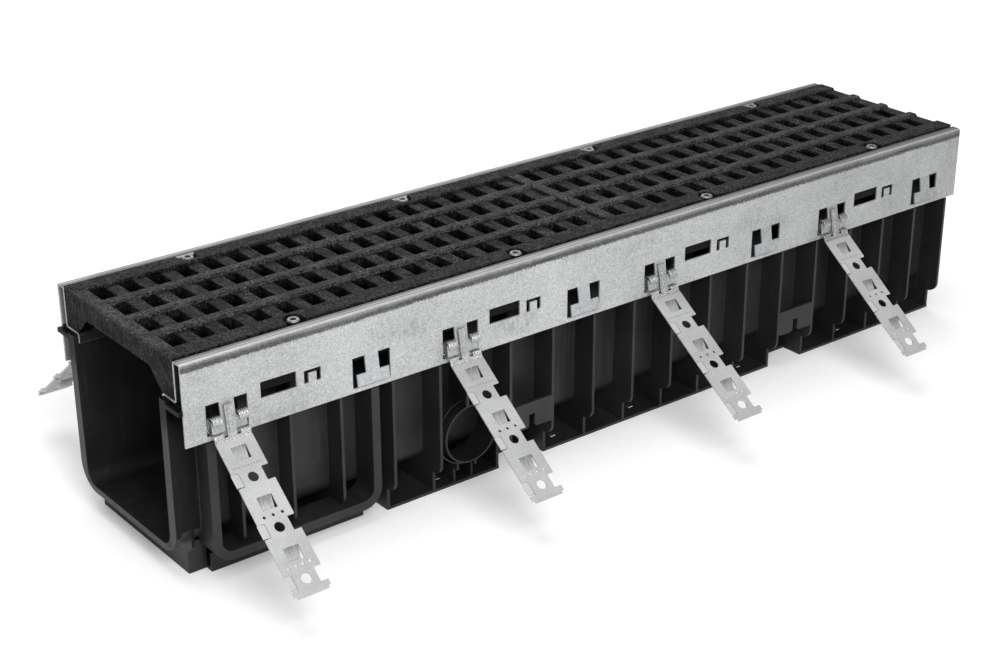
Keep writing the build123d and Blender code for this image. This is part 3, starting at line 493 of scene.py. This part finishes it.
def makeMouldedPlastic():
    made, tree, shader = newMaterial("mouldedPlastic")
    look = bodyLook
    place = objectPlace(tree)
    x, y, z = axesOf(tree, place)
    inset = subtract(tree, bodySide, absolute(tree, y))
    fromEnd = subtract(tree, x, bodyStart)
    wear = useGroup(tree, edgeWear, **look["wear"])
    haze = noise(tree, place, **look["haze"])
    hazy = ramp(tree, haze, *look["hazeBetween"])
    colour = mixColor(tree, hazy, grey(look["tone"]), grey(look["hazeTone"]))
    scratch = multiply(tree, noise(tree, place, **look["scratch"]), look["scratchShare"])
    colour = mixColor(tree, scratch, colour, grey(look["scratchTone"]))
    drawn = multiply(tree, noise(tree, place, **look["drawn"]), noise(tree, place, **look["drawnCloud"]))
    colour = mixColor(tree, multiply(tree, drawn, look["drawnShare"]), colour, grey(look["scratchTone"]))
    dust = multiply(tree, noise(tree, place, **look["dust"]), look["dustShare"])
    colour = mixColor(tree, dust, colour, grey(look["dustTone"]))

    # Painted shade: within the trough the surface is painted deep black.
    troughShade = multiply(tree, isAbove(tree, inset, look["troughInset"]),
                      isAbove(tree, z, look["troughHeight"]))
    colour = mixColor(tree, troughShade, colour, grey(look["troughShadeShare"]), "MULTIPLY")

    # Painted shade: what stands behind the rails' plates is painted dark.
    behindPlateShade = multiply(tree, isBelow(tree, inset, look["troughInset"]),
                      ramp(tree, z, *look["hiddenHeights"]))
    colour = mixColor(tree, behindPlateShade, colour, grey(look["behindPlateShadeShare"]), "MULTIPLY")

    # Painted shade: the outer walls of the end section are painted darker, with light scuffs.
    offWall = absolute(tree, subtract(tree, inset, look["wallInset"]))
    endWallShade = multiply(tree, ramp(tree, offWall, *look["wallReach"]),
                       ramp(tree, fromEnd, *look["wallStarts"]), ramp(tree, fromEnd, *look["wallEnds"]))
    colour = mixColor(tree, endWallShade, colour, grey(look["endWallShadeShare"]), "MULTIPLY")
    scuffs = multiply(tree, endWallShade, noise(tree, place, **look["wallScuff"]), look["wallScuffShare"])
    colour = mixColor(tree, scuffs, colour, grey(look["scratchTone"]))
    edges = multiply(tree, wear.outputs["Mask"], look["edgeShare"])
    colour = mixColor(tree, edges, colour, grey(look["edgeTone"]))

    # Where shade is painted, the sheen is dulled too.
    shadow = larger(tree, multiply(tree, troughShade, look["troughShadow"]),
                    multiply(tree, behindPlateShade, look["hiddenShadow"]))
    shadow = larger(tree, shadow, multiply(tree, endWallShade, look["wallShadow"]))
    sheen = multiply(tree, subtract(tree, 1.0, shadow), look["specular"])
    setSocket(tree, shader.inputs["Specular IOR Level"], sheen)
    runs = noise(tree, place, **look["runs"])
    rough = addUp(tree, swing(tree, runs, look["roughness"], look["runsRough"]),
                  multiply(tree, drawn, look["drawnRough"]))
    height = addUp(tree, multiply(tree, noise(tree, place, **look["grain"]), look["grainHeight"]),
                   multiply(tree, haze, look["hazeHeight"]),
                   multiply(tree, noise(tree, place, **look["ripples"]), look["rippleHeight"]))
    joinShader(tree, shader, colour, rough, 0.0, height, look["bump"], wear)
    return made


# Anchor straps. A strap's blade passes its hinge line at bladeOff, and its knee is at kneeReach
# along it. Windows, tabs and the score line are placed along the blade from the knee.
strapLook = {
    "bladeOff": 0.008689, "kneeReach": 0.01551,
    "tone": 0.50, "tint": (0.985, 0.993, 1.0), "spreads": {"Grain": 0.15, "Cloud": 0.05},
    "coat": {"CrystalScale": 520.0, "CloudScale": 26.0, "GrainScale": 1050.0},
    "scratch": {"stretch": (160.0, 60.0, 900.0), "turn": (0.9, 0.0, 0.2), "detail": 5.0, "roughness": 0.75,
                "between": (0.60, 0.72)},
    "scratchShare": 0.3, "scratchTone": 0.66, "scratchRough": -0.10,
    "windowFirst": 0.0145, "windowPitch": 0.05, "windowHalfWidth": 0.0076, "windowHalfHeight": 0.0069,
    "tongueTone": 0.12, "tongueShadeRise": 0.26, "tongueStreak": 0.22,
    "drawn": {"stretch": (900.0, 120.0, 120.0), "detail": 4.0, "roughness": 0.7, "between": (0.3, 0.7)},
    "tabFirst": 0.0385, "tabReach": (0.0070, 0.0064), "tabSide": (-0.0120, -0.0124),
    "tabHighlightShare": 0.4, "tabHighlightTone": 0.86,
    "foldPlace": -0.0120, "foldReach": (0.0006, 0.0003), "creaseShadeShare": 0.8, "creaseShadeTone": 0.10,
    "scoreLine": 0.027, "scoreReach": (0.0005, 0.0003), "scoreEnds": (0.0150, 0.0146),
    "dashTurn": 2200.0, "dashBetween": (-0.2, 0.3),
    "hookPlaces": (0.0035, -0.0005), "hookShare": 0.45, "hookRough": -0.20, "hookMetallic": 0.45,
    "flake": {"stretch": (1300.0, 500.0, 500.0), "detail": 4.0, "roughness": 0.78, "between": (0.42, 0.58)},
    "flakeDark": 0.10, "flakeLight": 0.62, "flakeHeight": 2.5,
    "wear": {"Width": 0.00045, "Breakup": 0.35, "NoiseScale": 420.0}, "wornShare": 0.9, "wornTone": 0.84,
    "roughness": 0.44, "cloudRough": 0.14, "metallic": 0.45,
    "bump": {"Strength": 0.35, "Distance": 0.0004},
}


# Place across a strap from its middle, and along it from its knee, whatever its angle.
def makeStrapPlace():
    look = strapLook
    tree, _, leave = newGroup("strapPlace", {}, dict.fromkeys(("Across", "Along"), "NodeSocketFloat"))
    x, y, z = axesOf(tree, objectPlace(tree))
    out = subtract(tree, absolute(tree, y), abs(firstHinge.y))
    up = subtract(tree, z, firstHinge.z)
    squared = addUp(tree, multiply(tree, out, out), multiply(tree, up, up), -look["bladeOff"] ** 2)
    reach = mathNode(tree, "SQRT", larger(tree, squared, 0.0))
    setSocket(tree, leave.inputs["Along"], subtract(tree, reach, look["kneeReach"]))
    across = subtract(tree, placeInBay(tree, x), firstHinge.x - railStart)
    setSocket(tree, leave.inputs["Across"], across)
    return tree


strapPlace = makeStrapPlace()


# Place from the middle of the nearest window or tab along a strap.
def placeInPitch(tree, along, first):
    pitch = strapLook["windowPitch"]
    phase = addUp(tree, along, pitch * 1.5 - first)
    return subtract(tree, mathNode(tree, "MODULO", phase, pitch), pitch / 2)


def makeStrapZinc():
    made, tree, shader = newMaterial("strapZinc")
    look = strapLook
    place = objectPlace(tree)
    own = useGroup(tree, strapPlace)
    across, along = own.outputs["Across"], own.outputs["Along"]
    width = absolute(tree, across)
    coat = useGroup(tree, zincCoat, **look["coat"])
    wear = useGroup(tree, edgeWear, **look["wear"])
    colour = tinted(tree, coatTone(tree, coat, look["tone"], look["spreads"]), look["tint"])
    scratch = noise(tree, place, **look["scratch"])
    colour = mixColor(tree, multiply(tree, scratch, look["scratchShare"]), colour, grey(look["scratchTone"]))

    # The pressed tongues are drawn and streaked, with painted shade that is darkest at their fold.
    inWindow = placeInPitch(tree, along, look["windowFirst"])
    tongue = multiply(tree, isBelow(tree, absolute(tree, inWindow), look["windowHalfHeight"]),
                      isBelow(tree, width, look["windowHalfWidth"]),
                      isAbove(tree, along, look["windowFirst"] / 2))
    tongueShade = ramp(tree, inWindow, -look["windowHalfHeight"], look["windowHalfHeight"])
    drawn = noise(tree, place, **look["drawn"])
    tongueTone = addUp(tree, multiply(tree, tongueShade, look["tongueShadeRise"]),
                       multiply(tree, drawn, look["tongueStreak"]), look["tongueTone"])
    colour = mixColor(tree, tongue, colour, tinted(tree, tongueTone, look["tint"]))

    # Painted shade in the creases where the side tabs fold and along a dashed score line.
    inTab = absolute(tree, placeInPitch(tree, along, look["tabFirst"]))
    nearTab = multiply(tree, ramp(tree, inTab, *look["tabReach"]), isAbove(tree, along, look["tabFirst"] / 2))
    fold = ramp(tree, absolute(tree, subtract(tree, across, look["foldPlace"])), *look["foldReach"])
    score = ramp(tree, absolute(tree, subtract(tree, along, look["scoreLine"])), *look["scoreReach"])
    wave = mathNode(tree, "SINE", multiply(tree, across, look["dashTurn"]))
    dashes = multiply(tree, score, ramp(tree, wave, *look["dashBetween"]),
                      ramp(tree, width, *look["scoreEnds"]))
    creaseShade = multiply(tree, larger(tree, multiply(tree, fold, nearTab), dashes), look["creaseShadeShare"])
    colour = mixColor(tree, creaseShade, colour, grey(look["creaseShadeTone"]))

    # Painted highlight on the side tabs, where they catch the light.
    tabHighlight = multiply(tree, nearTab, ramp(tree, across, *look["tabSide"]), look["tabHighlightShare"])
    colour = mixColor(tree, tabHighlight, colour, grey(look["tabHighlightTone"]))

    # The hook above the knee is bent hard and its coat has flaked.
    flakes = noise(tree, place, **look["flake"])
    flaked = mixColor(tree, flakes, grey(look["flakeDark"]), grey(look["flakeLight"]))
    onHook = ramp(tree, along, *look["hookPlaces"])
    colour = mixColor(tree, multiply(tree, onHook, look["hookShare"]), colour, flaked)
    worn = multiply(tree, wear.outputs["Mask"], look["wornShare"])
    colour = mixColor(tree, worn, colour, grey(look["wornTone"]))

    rough = addUp(tree, swing(tree, coat.outputs["Cloud"], look["roughness"], look["cloudRough"]),
                  multiply(tree, scratch, look["scratchRough"]), multiply(tree, onHook, look["hookRough"]))
    metallic = addUp(tree, multiply(tree, onHook, look["hookMetallic"]), look["metallic"])
    height = addUp(tree, coat.outputs["Height"], multiply(tree, flakes, onHook, look["flakeHeight"]))
    joinShader(tree, shader, colour, rough, metallic, height, look["bump"], wear)
    return made


# Bolts and nuts. Drops are measured down from the rails' top.
boltLook = {
    "tone": 0.24, "spread": 0.22, "mottle": {"scale": 300.0, "detail": 4.0, "roughness": 0.6},
    "mottleBetween": (0.3, 0.7), "socketShadeTone": 0.02, "crownDrops": (0.0003, 0.0008),
    "shankDrops": (0.0110, 0.0100),
    "wear": {"Width": 0.0005, "Breakup": 0.4, "NoiseScale": 500.0}, "wornTone": 0.42,
    "roughness": 0.43, "mottleRough": 0.15, "metallic": 0.7, "bump": {"Strength": 0.3, "Distance": 0.0003},
}


def makeBoltZinc():
    made, tree, shader = newMaterial("boltZinc")
    look = boltLook
    place = objectPlace(tree)
    drop = subtract(tree, railTop, axesOf(tree, place)["Z"])
    wear = useGroup(tree, edgeWear, **look["wear"])
    mottle = noise(tree, place, **look["mottle"])
    tone = swing(tree, ramp(tree, mottle, *look["mottleBetween"]), look["tone"], look["spread"])

    # Painted shade in the socket and round the head, below the crown.
    socketShade = multiply(tree, ramp(tree, drop, *look["crownDrops"]), ramp(tree, drop, *look["shankDrops"]))
    colour = mixColor(tree, socketShade, tone, grey(look["socketShadeTone"]))
    colour = mixColor(tree, wear.outputs["Mask"], colour, grey(look["wornTone"]))
    rough = swing(tree, mottle, look["roughness"], look["mottleRough"])
    joinShader(tree, shader, colour, rough, look["metallic"], mottle, look["bump"], wear)
    return made


boltZinc = makeBoltZinc()
castIron = makeCastIron()
finishes = {
    "channel_body": makeMouldedPlastic(), "rail": makeRailZinc(), "anchor_strap": makeStrapZinc(),
    "near_grate": castIron, "far_grate": castIron, "grate_bolt": boltZinc, "lock_nut": boltZinc,
}
for name, node in nodes.items():
    finish = next(made for key, made in finishes.items() if key in name)
    node.data.materials.clear()
    node.data.materials.append(finish)
print("finishes made:", len(set(finishes.values())))

# Floor, light and camera. Seen by the camera, the floor glows, and most of all far away.
studio = {
    "floorTone": 0.90, "floorRoughness": 0.9, "floorSpecular": 0.1, "floorSize": 14.0, "floorCells": 4,
    "nearGlow": 0.16, "farGlow": 0.55, "glowReach": (0.9, 2.6), "worldLevel": 0.42, "skyLevel": 1.0,
    "lamps": {
        "keyLight": {
            "place": (-1.15, -2.75, 2.3), "aim": (-0.1, 0.0, 0.1), "size": (1.8, 1.8), "power": 80.0,
        },
        "fillLight": {
            "place": (-0.7, -2.5, 1.0), "aim": (-0.2, 0.0, 0.1), "size": (1.6, 1.2), "power": 13.0,
        },
        "rimLight": {
            "place": (1.2, 2.6, 1.8), "aim": (0.0, 0.0, 0.1), "size": (2.6, 1.2), "power": 26.0,
        },
        "topLight": {
            "place": (-0.5, 0.1, 3.0), "aim": (-0.1, 0.0, 0.0), "size": (2.2, 1.4), "power": 30.0,
        },
    },
    "cameraPlace": (-1.1676, -1.4024, 0.9008), "azimuth": -38.07, "elevation": 24.49, "roll": -0.16,
    "lens": 68.66, "sensor": 36.0, "clip": (0.05, 60.0),
}


def cameraRay(tree):
    return addNode(tree, "ShaderNodeLightPath").outputs["Is Camera Ray"]


def makeFloor():
    mesh = bpy.data.meshes.new("studioFloor")
    shape = bmesh.new()
    cellCount = studio["floorCells"]
    bmesh.ops.create_grid(shape, x_segments=cellCount, y_segments=cellCount, size=studio["floorSize"] / 2)
    shape.to_mesh(mesh)
    shape.free()
    floor = bpy.data.objects.new("studioFloor", mesh)
    bpy.context.scene.collection.objects.link(floor)
    made, tree, shader = newMaterial("studioFloor")
    length = addNode(tree, "ShaderNodeVectorMath", {0: objectPlace(tree)}, operation="LENGTH")
    far = multiply(tree, ramp(tree, length.outputs["Value"], *studio["glowReach"]), studio["farGlow"])
    glow = multiply(tree, cameraRay(tree), addUp(tree, far, studio["nearGlow"]))
    joined = {
        "Base Color": grey(studio["floorTone"]), "Roughness": studio["floorRoughness"],
        "Specular IOR Level": studio["floorSpecular"], "Emission Color": grey(1.0), "Emission Strength": glow,
    }
    for label, value in joined.items():
        setSocket(tree, shader.inputs[label], value)
    mesh.materials.append(made)


def addLamp(name, place, aim, size, power):
    light = bpy.data.lights.new(name, "AREA")
    light.shape = "RECTANGLE"
    light.size, light.size_y = size
    light.energy = power
    lamp = bpy.data.objects.new(name, light)
    bpy.context.scene.collection.objects.link(lamp)
    lamp.location = place
    lamp.rotation_euler = (Vector(aim) - Vector(place)).to_track_quat("-Z", "Y").to_euler()


def makeWorld():
    world = bpy.data.worlds.new("studioWorld")
    bpy.context.scene.world = world
    world.use_nodes = True
    tree = world.node_tree
    background = tree.nodes["Background"]
    levels = {"Value": cameraRay(tree), "To Min": studio["worldLevel"], "To Max": studio["skyLevel"]}
    level = addNode(tree, "ShaderNodeMapRange", levels).outputs[0]
    setSocket(tree, background.inputs["Strength"], level)
    setSocket(tree, background.inputs["Color"], grey(1.0))


def makeCamera():
    data = bpy.data.cameras.new("photoCamera")
    data.sensor_width = studio["sensor"]
    data.lens = studio["lens"]
    data.clip_start, data.clip_end = studio["clip"]
    camera = bpy.data.objects.new("photoCamera", data)
    bpy.context.scene.collection.objects.link(camera)
    azimuth = math.radians(studio["azimuth"])
    elevation = math.radians(studio["elevation"])
    level = math.cos(elevation)
    back = Vector((math.sin(azimuth) * level, -math.cos(azimuth) * level, math.sin(elevation)))
    right = Vector((math.cos(azimuth), math.sin(azimuth), 0.0))
    turned = Matrix((right, back.cross(right), back)).transposed().to_4x4()
    roll = Matrix.Rotation(math.radians(studio["roll"]), 4, "Z")
    camera.matrix_world = Matrix.Translation(studio["cameraPlace"]) @ turned @ roll
    bpy.context.scene.camera = camera


makeFloor()
makeWorld()
for name, lamp in studio["lamps"].items():
    addLamp(name, **lamp)
makeCamera()
bpy.context.scene.view_settings.view_transform = "Standard"
print("studio ready")
